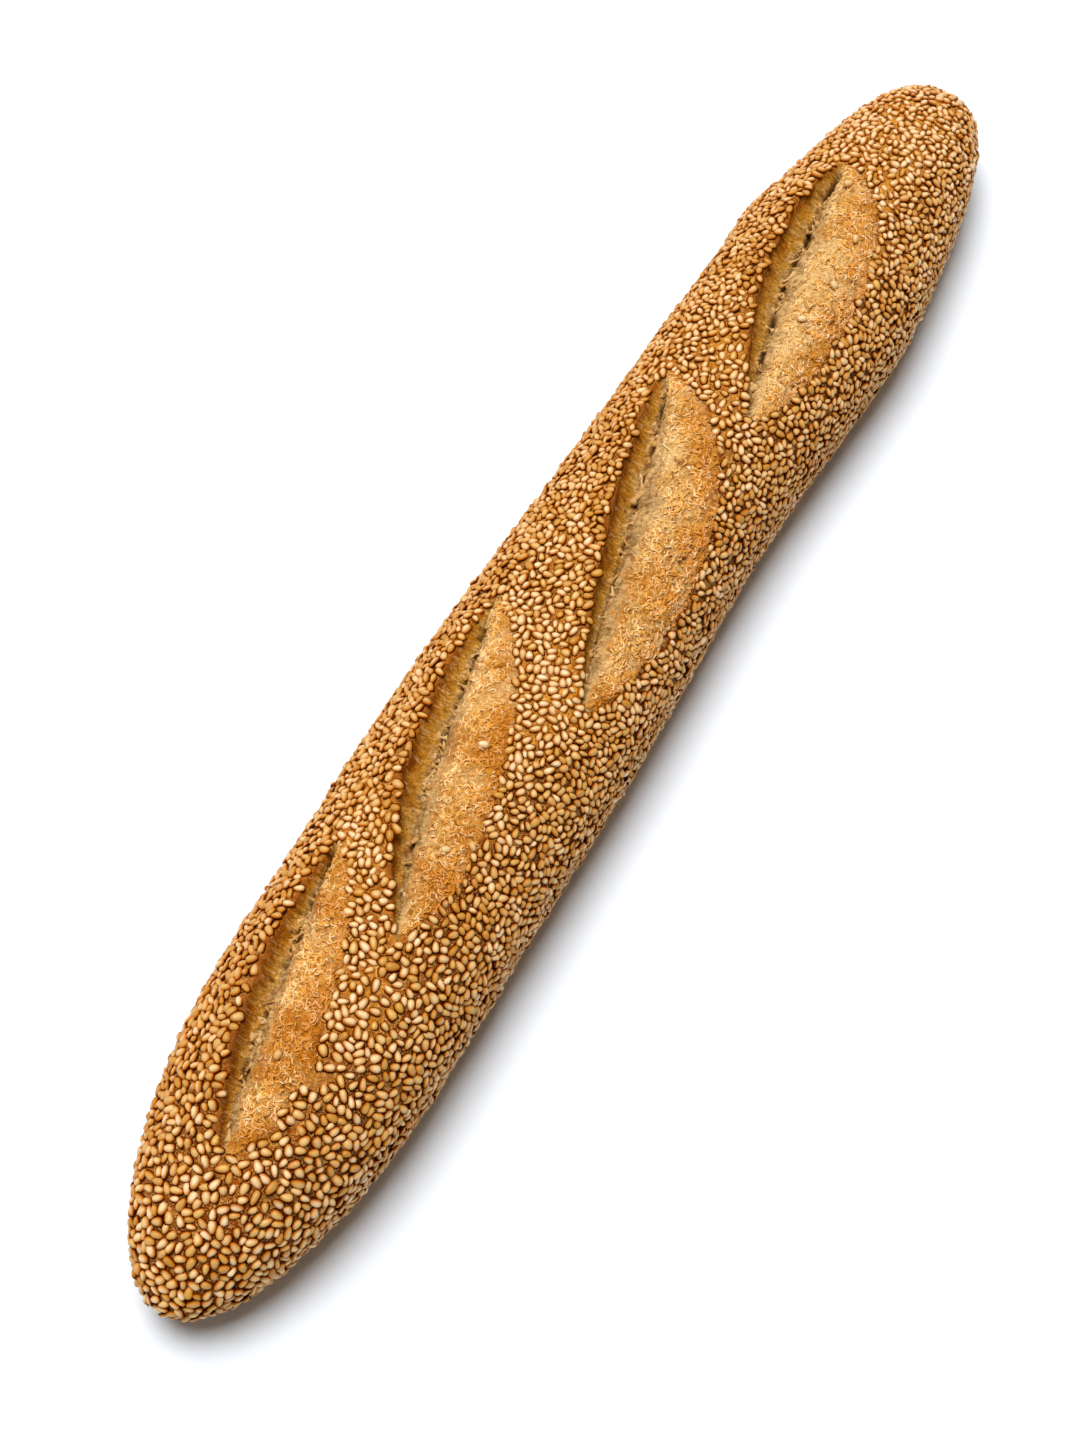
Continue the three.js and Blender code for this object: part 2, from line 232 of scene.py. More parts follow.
for number, (slash, holes) in enumerate(zip(SLASHES, HOLES)):
    share, across, opening, half, forward = in_slash(slash, place[:, 0], place[:, 1])
    top = (np.cos(angle) > 0) & (opening > 0.02) & (np.abs(share) < 1)
    o = np.maximum(opening, 0.02)
    along = share * half

    def wander(size, shift):
        return np.array([noise.noise(Vector((a / size, shift + number, 3))) for a in along])

    swerve = (0.8 * wander(11, 0) + 0.35 * wander(3.5, 20)) * o
    lip = -slash["wall"] * o + swerve + (0.85 * wander(4.5, 40) + 0.45 * wander(1.6, 60)) * o
    border = (slash["bloom"] + 1.5 * wander(10, 80) + 0.9 * wander(3.2, 100)) * o + 0.5 * small * o
    ear = np.where(across < lip, smooth(across, lip - EAR_REACH, lip), 0) * top
    rise += EAR_LIFT * o * ear
    q = (across - swerve) / o
    foot = slash["foot"]
    wall_share = np.clip((across - lip) / np.maximum(foot * o + swerve - lip, 0.05), 0, 1)
    dropped = EAR_LIFT - (EAR_LIFT + CUT_DEPTH) * (1 - (1 - wall_share) ** 2.4)
    risen = -CUT_DEPTH + (CUT_DEPTH + BLOOM_CROWN) * smooth(q, foot - 0.4, BLOOM_RISE)
    to_border = np.clip((q - BLOOM_RISE) / np.maximum(border / o - BLOOM_RISE, 1), 0, 1)
    crowned = BLOOM_CROWN * np.cos(to_border * math.pi / 2) ** 2
    inside = top & (across >= lip) & (across <= border)
    depth = np.where(q < foot, dropped, np.where(q < BLOOM_RISE, risen, crowned)) * o
    # How far down the wall (-1 to 0), out over the pale crumb (0 to 0.12) or on over the bloom a place is.
    beyond = np.maximum(q - foot, 0)
    crumb = slash["crumb"] * np.clip(0.75 + 0.9 * wander(22, 200) - 0.3 * share, 0.1, 1.4)
    past = np.where(wall_share < 1, wall_share - 1,
                    0.12 * np.minimum(beyond / crumb, 1) + np.maximum(beyond - crumb, 0) / BLOOM_RISE)
    bloom_mark = smooth(past + 0.05 * small, 0.1, 0.3)
    wall_mark = 1 - smooth(past, -0.3, -0.1)
    crumb_mark = 1 - np.maximum(bloom_mark, wall_mark)
    strands = np.array([noise.noise(Vector((a / 0.8, c / 3.0, number))) for a, c in zip(along, across)])
    groove = np.exp(-(((q - foot - 0.3) / 0.6) ** 2))
    depth -= inside * groove * (0.9 + 0.6 * wander(4, 160)) * smooth(o, 0.1, 0.6)
    depth += inside * crumb_mark * (0.45 * strands + 0.35 * small)
    depth += inside * wall_mark * (0.3 * strands + 0.35 * small) * smooth(wall_share, 0, 0.3)
    depth += inside * bloom_mark * (0.6 * lumps + 0.8 * folds + 0.6 * (curls - 0.4))
    depth -= inside * 0.8 * cracks * smooth(past, 0.5, 0.9)
    # The bloom's skin ends in a thin raised border against the seeded crust.
    depth += inside * 0.3 * np.exp(-(((across - border + 0.6) / 0.5) ** 2)) * smooth(q, 4, 8)
    hole_mark = np.zeros(len(x))
    for at, length, width, deep in holes:
        sideways = rng.uniform(-0.5, 0.5) + foot * (1 - at * at) ** OPENING_POWER
        radius = np.sqrt(((along - at * half) / (length / 2)) ** 2
                         + ((across - swerve - sideways) / (0.4 * width)) ** 2) + 0.45 * small + 0.5 * strands
        hole_mark = np.maximum(hole_mark, 1 - smooth(radius, 0.45, 1.1))
        depth -= inside * deep * (1 - smooth(radius, 0.3, 1.2))
    for _ in range(PITS_A_SLASH):
        at, sideways = rng.uniform(-0.85, 0.92), rng.normal(0.2, 1.1) + foot * 0.7
        size = rng.uniform(0.35, 0.85)
        radius = np.hypot((along - at * half) / (size * 1.3), (across - swerve - sideways) / size)
        hole_mark = np.maximum(hole_mark, (0.35 + 0.35 * (at > 0)) * (1 - smooth(radius, 0.4, 1.1)))
        depth -= inside * 1.1 * size * (1 - smooth(radius, 0.2, 1.2))
    rise = np.where(inside, rise + depth, rise)
    curl = np.exp(-(((across - lip) / 0.9) ** 2)) * top * LIP_CURL * o
    lean += curl[:, None] * np.array([forward[1], -forward[0], 0])
    marks["open"] = np.maximum(marks["open"], inside)
    marks["cut"] = np.where(inside, past, marks["cut"])
    marks["bloom"] = np.maximum(marks["bloom"], inside * bloom_mark)
    marks["hole"] = np.maximum(marks["hole"], inside * hole_mark)
    at_lip = np.exp(-(((across - lip) / 0.55) ** 2))
    marks["edge"] = np.maximum(marks["edge"], top * at_lip * smooth(o, 0.1, 0.4))
    at_border = np.exp(-(((across - border) / 1.8) ** 2))
    marks["rim"] = np.maximum(marks["rim"], top * at_border * smooth(o, 0.1, 0.5))
    marks["ear"] = np.maximum(marks["ear"], ear * o)
    before = np.clip(lip - across, 0, None)
    marks["brow"] = np.maximum(marks["brow"], top * (across < lip) * np.exp(-((before / BROW_WIDTH) ** 2))
                               * smooth(o, 0.15, 0.5))
    cut_place[inside] = np.stack([along, across, np.full(len(x), 50.0 * number)], 1)[inside]

rise += (0.2 * wide + 0.16 * small + marks["brow"] * (0.3 * lumps + 0.45 * small)) * (1 - marks["open"])
moved = place + straight * rise[:, None] + lean
resting = RESTING_GAP + 0.12 * wide
moved[:, 2] = np.where(moved[:, 2] < resting, resting, moved[:, 2])

# How hard each place was baked: the near end and the ears' edges most, the far end and a patch of the
# ridge between the second and third slashes least. The -Y side, away from the lamp, is darkened as
# painted shade.
turned = np.sin(angle)
bake_and_shade = 0.42 + 0.22 * smooth(-x, 120, 205) + 0.08 * smooth(x, 195, 212)
bake_and_shade = bake_and_shade - 0.16 * smooth(x, 60, 150) - 0.36 * smooth(x, 150, 190) + 0.6 * smooth(turned, 0.2, 0.8)
bake_and_shade -= 0.4 * np.exp(-(((x + 38) / 20) ** 2)) * smooth(np.cos(angle), 0.5, 0.9)
bake_and_shade += 0.04 * smooth(-turned, 0.3, 0.9)
bake_and_shade = bake_and_shade + 0.30 * grain(place, 14, 5.0) + 0.20 * grain(place, 34, 9.0) + 0.35 * marks["ear"] ** 3
marks["bake_and_shade"] = np.clip(bake_and_shade, 0, 1)
marks["under"] = smooth(-np.cos(angle), 0.55, 0.95)
marks["bare"] = grain(place, 7, 77.0) + 0.6 * grain(place, 3, 31.0) - 0.7 * np.exp(-(((x + 32) / 22) ** 2))
marks["cracks"] = cracks * smooth(marks["cut"], 0.5, 0.9)
browned = 0.6 * folds + 0.55 * grain(place, 14, 23.0) + 0.3 * lumps
marks["browned"] = browned - 0.28 * smooth(x, -30, 90) + 0.22 * smooth(-x, 70, 120)
marks["curls"] = curls

crust_mesh = bpy.data.meshes.new("loaf_crust")
crust_mesh.from_pydata(moved * 0.001, [], rings)
shell = bmesh.new()
shell.from_mesh(crust_mesh)
bmesh.ops.recalc_face_normals(shell, faces=shell.faces)
shell.to_mesh(crust_mesh)
shell.free()
crust_mesh.polygons.foreach_set("use_smooth", np.ones(len(crust_mesh.polygons), bool))
for name, values in marks.items():
    crust_mesh.attributes.new(name, "FLOAT", "POINT").data.foreach_set("value", values.astype(np.float32))
crust_mesh.attributes.new("cut_place", "FLOAT_VECTOR", "POINT").data.foreach_set(
    "vector", (cut_place * 0.001).astype(np.float32).ravel())
crust = bpy.data.objects.new("loaf_crust", crust_mesh)
bpy.context.scene.collection.objects.link(crust)


def tint(hex_colour):
    """A screen colour as the linear values that a shader takes."""
    parts = [int(hex_colour[i:i + 2], 16) / 255 for i in (0, 2, 4)]
    linear = [p / 12.92 if p <= 0.04045 else ((p + 0.055) / 1.055) ** 2.4 for p in parts]
    return (*linear, 1)


class Finish:
    """A material under construction; each method adds one node and returns its output."""

    def __init__(self, name):
        self.material = bpy.data.materials.new(name)
        self.material.use_nodes = True
        self.tree = self.material.node_tree
        self.shader = self.tree.nodes["Principled BSDF"]

    def put(self, value, socket):
        if isinstance(value, bpy.types.NodeSocket):
            self.tree.links.new(value, socket)
        else:
            socket.default_value = value

    def mark(self, name):
        node = self.tree.nodes.new("ShaderNodeAttribute")
        node.attribute_name = name
        return node.outputs["Fac"]

    def speckle(self, size, detail=2.0, roughness=0.5, stretch=(1, 1, 1), warp=0.0, follow=None):
        """Noise of about size millimetres, in Object coordinates or along a vector attribute."""
        coordinates = self.tree.nodes.new("ShaderNodeAttribute" if follow else "ShaderNodeTexCoord")
        if follow:
            coordinates.attribute_name = follow
        mapping = self.tree.nodes.new("ShaderNodeMapping")
        mapping.inputs["Scale"].default_value = stretch
        pattern = self.tree.nodes.new("ShaderNodeTexNoise")
        pattern.inputs["Scale"].default_value = 1000 / size
        pattern.inputs["Detail"].default_value = detail
        pattern.inputs["Roughness"].default_value = roughness
        pattern.inputs["Distortion"].default_value = warp
        self.tree.links.new(coordinates.outputs["Vector" if follow else "Object"], mapping.inputs["Vector"])
        self.tree.links.new(mapping.outputs["Vector"], pattern.inputs["Vector"])
        return pattern.outputs["Fac"]

    def between(self, value, low, high, to_low=0.0, to_high=1.0):
        node = self.tree.nodes.new("ShaderNodeMapRange")
        self.put(value, node.inputs["Value"])
        limits = {"From Min": low, "From Max": high, "To Min": to_low, "To Max": to_high}
        for socket, number in limits.items():
            node.inputs[socket].default_value = number
        return node.outputs["Result"]

    def ramp(self, value, stops):
        """Colours along a value: each stop is the value and its screen colour."""
        low, high = stops[0][0], stops[-1][0]
        node = self.tree.nodes.new("ShaderNodeValToRGB")
        self.tree.links.new(self.between(value, low, high), node.inputs["Fac"])
        for at, _ in stops[1:-1]:
            node.color_ramp.elements.new((at - low) / (high - low))
        for stop, (at, hex_colour) in zip(node.color_ramp.elements, stops):
            stop.position = (at - low) / (high - low)
            stop.color = tint(hex_colour)
        return node.outputs["Color"]

    def worked_out(self, operation, first, second):
        node = self.tree.nodes.new("ShaderNodeMath")
        node.operation = operation
        self.put(first, node.inputs[0])
        self.put(second, node.inputs[1])
        return node.outputs["Value"]

    def plus(self, first, second):
        return self.worked_out("ADD", first, second)

    def times(self, first, second):
        return self.worked_out("MULTIPLY", first, second)

    def mixed(self, share, first, second, blend="MIX"):
        node = self.tree.nodes.new("ShaderNodeMix")
        node.data_type = "RGBA"
        node.blend_type = blend
        self.put(share, node.inputs["Factor"])
        self.put(first, node.inputs[6])
        self.put(second, node.inputs[7])
        return node.outputs[2]

    def bump(self, height, distance, strength=1.0, under=None):
        node = self.tree.nodes.new("ShaderNodeBump")
        node.inputs["Distance"].default_value = distance * 0.001
        node.inputs["Strength"].default_value = strength
        self.tree.links.new(height, node.inputs["Height"])
        if under is not None:
            self.tree.links.new(under, node.inputs["Normal"])
        return node.outputs["Normal"]

    def finish(self, colour, roughness, normal):
        self.put(colour, self.shader.inputs["Base Color"])
        self.put(roughness, self.shader.inputs["Roughness"])
        if normal is not None:
            self.tree.links.new(normal, self.shader.inputs["Normal"])
        return self.material


# From the ear's edge (-1) down its wall to the bottom of the cut (0), and out over the bloom. The darker stop
# at the bottom of the cut (0) is painted shade in the groove.
TORN_TINTS = [(-1.0, "9A5206"), (-0.8, "B46C10"), (-0.45, "C68A2A"), (-0.2, "C4924A"), (-0.06, "BE945A"),
              (0.0, "A27840"), (0.07, "C49C62"), (0.18, "DEB67A"), (0.34, "F0C888"), (0.5, "FACE82"),
              (0.9, "FCC468"), (1.5, "F0AA4A"), (2.3, "DA8E30")]

glaze = Finish("baked_crust")
# The crust darkens with how hard it was baked, and on the -Y side as painted shade.
baked = glaze.plus(glaze.mark("bake_and_shade"), glaze.between(glaze.speckle(3.5, 3), 0.3, 0.7, -0.16, 0.16))
colour = glaze.mixed(glaze.between(baked, 0.0, 0.6), tint("E0921E"), tint("A85400"))
colour = glaze.mixed(glaze.between(baked, 0.45, 1.05), colour, tint("501600"))
swirl = glaze.worked_out("SUBTRACT", glaze.speckle(2.2, 2.0, 0.55, (1, 1, 1), 2.2), 0.5)
swirl = glaze.worked_out("ABSOLUTE", swirl, 0.0)
fine_curl = glaze.between(swirl, 0.0, 0.11, 1, 0)
colour = glaze.mixed(glaze.between(glaze.speckle(1.3, 3), 0.4, 0.55, 0.5, 0), colour, tint("762400"))
# Pale squiggles on the crust, lightened on their raised tops as a painted highlight.
colour = glaze.mixed(glaze.between(fine_curl, 0.4, 1, 0, 0.65), colour, tint("FCC068"))
# Lighter crust in the bare patches, as painted light where no seeds shade it.
colour = glaze.mixed(glaze.between(glaze.mark("bare"), 0.2, 0.7, 0, 0.3), colour, tint("E8A248"))
colour = glaze.mixed(glaze.between(glaze.mark("under"), 0, 1, 0, 0.45), colour, tint("A86E28"))
colour = glaze.mixed(glaze.between(glaze.mark("brow"), 0.1, 0.9, 0, 0.5), colour, tint("A85408"))
# In the cuts: torn dough, with pale curls on an orange-brown ground.
place_in_cut = glaze.plus(glaze.mark("cut"), glaze.between(glaze.speckle(6, 3), 0.3, 0.7, -0.25, 0.25))
place_in_cut = glaze.plus(place_in_cut, glaze.between(glaze.speckle(1.5, 3), 0.3, 0.7, -0.1, 0.1))
torn = glaze.ramp(place_in_cut, TORN_TINTS)
on_bloom = glaze.between(place_in_cut, 0.12, 0.45)
flecks = glaze.plus(glaze.times(glaze.mark("curls"), 0.5), glaze.times(fine_curl, 0.5))
torn = glaze.mixed(glaze.between(on_bloom, 0, 1, 0, 0.45), torn, tint("D88A24"))
# Painted shade in the bloom's creases, where its relief sinks.
crease_shade = glaze.times(on_bloom, glaze.between(flecks, 0.0, 0.4, 0.85, 0))
torn = glaze.mixed(crease_shade, torn, tint("AC5A02"))
# Paler dry crests, lightened further as a painted highlight on the raised relief.
pale_lit_crests = glaze.times(on_bloom, glaze.between(flecks, 0.45, 0.9, 0, 0.6))
torn = glaze.mixed(pale_lit_crests, torn, tint("FFD080"))
browned = glaze.times(on_bloom, glaze.between(glaze.mark("browned"), 0.0, 0.5, 0, 0.8))
torn = glaze.mixed(browned, torn, tint("C4700E"))
dried = glaze.times(on_bloom, glaze.between(glaze.mark("browned"), -0.05, -0.5, 0, 0.6))
torn = glaze.mixed(dried, torn, tint("FFD896"))
torn = glaze.mixed(glaze.between(glaze.speckle(2.4, 2), 0.61, 0.68, 0, 0.6), torn, tint("94500E"))
# Painted shade along the bloom's cracks, which are also sunk.
torn = glaze.mixed(glaze.between(glaze.mark("cracks"), 0.1, 0.8, 0, 0.7), torn, tint("8A4608"))
streaks = glaze.speckle(0.8, 3, 0.6, (1, 0.35, 1), 1.2, follow="cut_place")
on_wall = glaze.between(on_bloom, 0, 1, 1, 0)
torn = glaze.mixed(glaze.times(on_wall, glaze.between(streaks, 0.38, 0.52, 0.55, 0)), torn, tint("8A5414"))
torn = glaze.mixed(glaze.times(on_wall, glaze.between(streaks, 0.54, 0.66, 0, 0.45)), torn, tint("EECA8C"))
torn = glaze.mixed(glaze.between(glaze.mark("rim"), 0.2, 1, 0, 0.4), torn, tint("B0661A"))
colour = glaze.mixed(glaze.mark("open"), colour, torn)
colour = glaze.mixed(glaze.between(glaze.mark("edge"), 0.35, 1, 0, 0.55), colour, tint("A45408"))
# Painted shade in the holes and pits torn in the bottom of the cuts.
colour = glaze.mixed(glaze.between(glaze.mark("hole"), 0.1, 0.8, 0, 0.85), colour, tint("5E380C"))
skin_grain = glaze.bump(glaze.speckle(0.7, 2), 0.08, 1.0, glaze.bump(glaze.speckle(1.8, 2), 0.35))
open_grain = glaze.bump(fine_curl, 0.2, 1.0, skin_grain)
open_grain = glaze.bump(glaze.times(streaks, glaze.mark("open")), 0.4, 1.0, open_grain)
roughness = glaze.between(glaze.mark("open"), 0, 1, 0.5, 0.72)
glaze.shader.inputs["Specular IOR Level"].default_value = 0.06
crust_mesh.materials.append(glaze.finish(colour, roughness, open_grain))
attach(crust, "root")
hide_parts("loaf")


# ---- The sesame seeds ----
# Hulled white sesame, about 3 mm long: the damp roll was turned in a tray of them before it was slashed.
# They lie every way, touching and half sunk in the crust, and browned with it, most along the ears.
SEED_LENGTH, SEED_WIDTH, SEED_THICKNESS = 2.9, 1.82, 1.45
SHADE_SKIRT_WIDTH, SHADE_SKIRT_LEVEL = 1.28, -0.17   # rim round its foot, painted dark as shade, as shares of its width and thickness
SEED_TRIES, MOST_SEEDS = 340000, 12000
UNDERSIDE_SHARE = 0.25  # of the seeds that fall under the loaf, how many stay
FIRST_CROWDING = 0.66   # how near seeds may first fall, as a share of their width
THINNING = 0.4          # how much further apart they fall in the thin patches
LAST_CROWDING = 0.93    # how far they then shift apart
SHIFTS, SHIFTS_A_LOOK = 24, 8            # the neighbours are looked up anew every few shifts
NEIGHBOUR_REACH, PUSH = 4.4, 0.22
LONGEST_SHIFT, LARGEST_TURN = 0.5, 0.25
# The strays lie on the bloom, so their lower sides and feet get less painted shade.
STRAYS_A_BLOOM, STRAY_SIZE, STRAY_SINK, STRAY_LOW_SHADING = 2, 0.95, 0.7, 0.4
CELL = 3.7

rng = np.random.default_rng(402)
crust_mesh.calc_loop_triangles()
corners = np.zeros(len(crust_mesh.loop_triangles) * 3, np.int32)
crust_mesh.loop_triangles.foreach_get("vertices", corners)
corners = corners.reshape(-1, 3)
tri = moved[corners]
areas = np.linalg.norm(np.cross(tri[:, 1] - tri[:, 0], tri[:, 2] - tri[:, 0]), axis=1) / 2
normal_data = np.zeros(len(crust_mesh.vertices) * 3, np.float32)
crust_mesh.vertices.foreach_get("normal", normal_data)
crust_normals = normal_data.reshape(-1, 3).astype(float)
opened = marks["open"]


def units(vectors):
    return vectors / np.maximum(np.linalg.norm(vectors, axis=1), 1e-9)[:, None]


def dropped_on(shares, count):
    """Places strewn over the crust's triangles by their shares: the triangle of each and its point in it."""
    chosen = rng.choice(len(shares), count, p=shares / shares.sum())
    first, second = rng.random(count), rng.random(count)
    flip = first + second > 1
    first[flip], second[flip] = 1 - first[flip], 1 - second[flip]
    return chosen, np.stack([1 - first - second, first, second], 1)


def on_crust(values, chosen, weights):
    return np.einsum("nk...,nk->n...", values[corners[chosen]], weights)


def flat_on(normals, turns):
    """Length and width directions of things that lie on the crust, turned at random."""
    helper = np.where(np.abs(normals[:, :1]) < 0.9, np.array([[1.0, 0, 0]]), np.array([[0, 1.0, 0]]))
    tangent = units(np.cross(normals, helper))
    axis = tangent * np.cos(turns)[:, None] + np.cross(normals, tangent) * np.sin(turns)[:, None]
    return axis, np.cross(normals, axis)


chosen, weights = dropped_on(areas, SEED_TRIES)
fallen = on_crust(moved, chosen, weights)
chance = rng.random(SEED_TRIES)
under = on_crust(marks["under"], chosen, weights)
allowed = (on_crust(opened, chosen, weights) < 0.04) & (on_crust(marks["bare"], chosen, weights) < 0.8)
allowed &= (under < 0.5) | (chance < UNDERSIDE_SHARE)
allowed &= on_crust(marks["brow"], chosen, weights) < 0.5 + 0.6 * chance
turns = rng.uniform(0, 2 * math.pi, SEED_TRIES)
axes, _ = flat_on(units(on_crust(crust_normals, chosen, weights)), turns)
sizes = rng.normal(1.1, 0.09, SEED_TRIES).clip(0.9, 1.3) - 0.13 * smooth(fallen[:, 0], -200, -60)
ridge = smooth(units(on_crust(crust_normals, chosen, weights))[:, 2], 0.75, 0.97)
sparse = 1 + THINNING * (smooth(on_crust(marks["bare"], chosen, weights), -0.15, 0.6) * (0.4 + 0.6 * ridge)
                         + 0.2 * ridge)

END_OFFSET = 0.21 * SEED_LENGTH
cells, kept, kept_ends = {}, [], []
for i in np.flatnonzero(allowed):
    middle = fallen[i]
    reach = axes[i] * (END_OFFSET * sizes[i])
    ends = np.array([middle - reach, middle, middle + reach])
    column, row, layer = (int(c) for c in middle // CELL)
    near = [k for dx in (-1, 0, 1) for dy in (-1, 0, 1) for dz in (-1, 0, 1)
            for k in cells.get((column + dx, row + dy, layer + dz), ())]
    if near:
        others = np.concatenate([kept_ends[k] for k in near])
        least = FIRST_CROWDING * SEED_WIDTH * sizes[i] * sparse[i]
        if ((others[:, None] - ends) ** 2).sum(2).min() < least ** 2:
            continue
    cells.setdefault((column, row, layer), []).append(len(kept))
    kept.append(i)
    kept_ends.append(ends)
    if len(kept) == MOST_SEEDS:
        break
kept = np.array(kept)
spots, sizes = fallen[kept], sizes[kept]
turns = turns[kept]
crust_tree = BVHTree.FromPolygons([Vector(p) for p in moved], corners.tolist())


def settle(spots):
    """The nearest places of the crust to the spots, with the crust's normals there."""
    found = [crust_tree.find_nearest(Vector(p)) for p in spots]
    faces = np.array([f[2] for f in found])
    return np.array([f[0] for f in found]), units(crust_normals[corners[faces]].mean(1)), faces


# The seeds shift and turn a little until they hardly overlap, as when the roll is pressed in the tray.
spots, normals, faces = settle(spots)
for shift in range(SHIFTS):
    if shift % SHIFTS_A_LOOK == 0:
        spots, normals, faces = settle(spots)
        around = KDTree(len(spots))
        for k, spot in enumerate(spots):
            around.insert(spot, k)
        around.balance()
        pairs = np.array([(k, other) for k, spot in enumerate(spots)
                          for _, other, _ in around.find_range(spot, NEIGHBOUR_REACH) if other > k])
    axes, _ = flat_on(normals, turns)
    offsets = np.array([-1, 0, 1])[:, None] * (axes * (END_OFFSET * sizes)[:, None])[:, None, :]
    ends = spots[:, None, :] + offsets
    one, two = pairs[:, 0], pairs[:, 1]
    apart = ends[one][:, :, None] - ends[two][:, None, :]
    gap = np.linalg.norm(apart, axis=3)
    wanted = LAST_CROWDING * SEED_WIDTH * (sizes[one] + sizes[two]) / 2
    push = np.clip(wanted[:, None, None] - gap, 0, None) / np.maximum(gap, 1e-6)
    force = apart * push[..., None] * PUSH
    moves, twists = np.zeros_like(spots), np.zeros(len(spots))
    for index, sign, along_axis in ((one, 1, 2), (two, -1, 1)):
        each_end = sign * force.sum(axis=along_axis)
        np.add.at(moves, index, each_end.sum(1))
        torque = np.cross(offsets[index], each_end).sum(1)
        np.add.at(twists, index, (torque * normals[index]).sum(1))
    moves -= (moves * normals).sum(1)[:, None] * normals
    length = np.linalg.norm(moves, axis=1)[:, None]
    spots = spots + moves * np.minimum(1, LONGEST_SHIFT / np.maximum(length, 1e-6))
    turns = turns + np.clip(0.5 * twists, -LARGEST_TURN, LARGEST_TURN)
spots, normals, faces = settle(spots)
stays = opened[corners[faces]].mean(1) < 0.5
spots, normals, faces, turns, sizes = (values[stays] for values in (spots, normals, faces, turns, sizes))

# A few strays fell on each bloom.
on_blooms = areas * (marks["bloom"][corners].min(1) > 0.9)
stray_faces, stray_weights = dropped_on(on_blooms, STRAYS_A_BLOOM * len(SLASHES))
stray_spots = on_crust(moved, stray_faces, stray_weights)
spots = np.concatenate([spots, stray_spots])
normals = np.concatenate([normals, units(on_crust(crust_normals, stray_faces, stray_weights))])
faces = np.concatenate([faces, stray_faces])
turns = np.concatenate([turns, rng.uniform(0, 2 * math.pi, len(stray_faces))])
sizes = np.concatenate([sizes, np.full(len(stray_faces), STRAY_SIZE)])
axis, beside = flat_on(normals, turns)
seed_count = len(spots)
tilts = rng.normal(0, 0.22, (seed_count, 2))
sinks = rng.normal(0.36, 0.16, seed_count)
sinks[-len(stray_faces):] = STRAY_SINK
# How much painted shade the seeds' lower sides and feet take: less for the strays.
low_shading = np.ones(seed_count)
low_shading[-len(stray_faces):] = STRAY_LOW_SHADING
shapes = rng.normal(1, (0.08, 0.09, 0.1), (seed_count, 3)).clip(0.8, 1.2)


def seed_shape():
    """One seed lying along X: rounded at one end and drawn to a blunt point at the other."""
    seed = bmesh.new()
    bmesh.ops.create_uvsphere(seed, u_segments=8, v_segments=5, radius=0.5)
    bmesh.ops.rotate(seed, verts=seed.verts, cent=(0, 0, 0), matrix=Matrix.Rotation(math.pi / 2, 3, "Y"))
    for vertex in seed.verts:
        along = 2 * vertex.co.x
        round_here = max(math.hypot(vertex.co.y, vertex.co.z) * 2, 1e-6)
        blunt = round_here ** -0.28 * (1 - 0.23 * along - 0.05 * along * along)
        vertex.co.x *= SEED_LENGTH
        vertex.co.y *= SEED_WIDTH * blunt
        vertex.co.z *= SEED_THICKNESS * blunt
        # Below, the seed spreads into a flat rim round its foot, which the hull paints dark as shade.
        if vertex.co.z < -0.1 * SEED_THICKNESS and abs(vertex.co.y) > 0.1 * SEED_WIDTH:
            vertex.co.y = math.copysign(SEED_WIDTH * SHADE_SKIRT_WIDTH * blunt * round_here / 2, vertex.co.y)
            vertex.co.x *= SHADE_SKIRT_WIDTH
            vertex.co.z = SHADE_SKIRT_LEVEL * SEED_THICKNESS
    bmesh.ops.recalc_face_normals(seed, faces=seed.faces)
    sort_points(seed)
    return seed


def many_copies(name, template, co, per_copy):
    """One mesh of many copies of a small shape, from the points of each, with attributes for each copy."""
    template.verts.index_update()
    faces = in_order([v.index for v in f.verts] for f in template.faces)
    sizes = np.array([len(f) for f in faces])
    flat = np.concatenate(faces)
    count, points = co.shape[:2]
    loops = (flat[None] + np.arange(count)[:, None] * points).ravel()
    face_starts = np.concatenate([[0], np.cumsum(sizes)[:-1]])
    starts = (face_starts[None] + np.arange(count)[:, None] * len(flat)).ravel()
    mesh = bpy.data.meshes.new(name)
    mesh.vertices.add(count * points)
    mesh.vertices.foreach_set("co", (co * 0.001).astype(np.float32).ravel())
    mesh.loops.add(len(loops))
    mesh.loops.foreach_set("vertex_index", loops.astype(np.int32))
    mesh.polygons.add(len(starts))
    mesh.polygons.foreach_set("loop_start", starts.astype(np.int32))
    mesh.update(calc_edges=True)
    mesh.polygons.foreach_set("use_smooth", np.ones(len(mesh.polygons), bool))
    for key, values in per_copy.items():
        full = values if values.ndim == 2 else np.repeat(values[:, None], points, 1)
        mesh.attributes.new(key, "FLOAT", "POINT").data.foreach_set("value", full.astype(np.float32).ravel())
    piece = bpy.data.objects.new(name, mesh)
    bpy.context.scene.collection.objects.link(piece)
    return piece


def leaned(axis, beside, straight, tilt, size):
    """Matrices whose columns are a copy's length, width and thickness directions, each at its own size."""
    length = axis + straight * tilt[:, :1]
    length /= np.linalg.norm(length, axis=1)[:, None]
    width = beside + straight * tilt[:, 1:2]
    width -= (width * length).sum(1)[:, None] * length
    width /= np.linalg.norm(width, axis=1)[:, None]
    thick = np.cross(length, width)
    return np.stack([length, width, thick], -1) * size[:, None, :]


template = seed_shape()
points = np.array([v.co for v in template.verts])
tip_share = np.clip(points[:, 0] / (SEED_LENGTH / 2), -1, 1)
low_share = np.clip(0.5 - points[:, 2] / SEED_THICKNESS, 0, 1)
seed_marks = {name: values[corners[faces]].mean(1) for name, values in marks.items()}
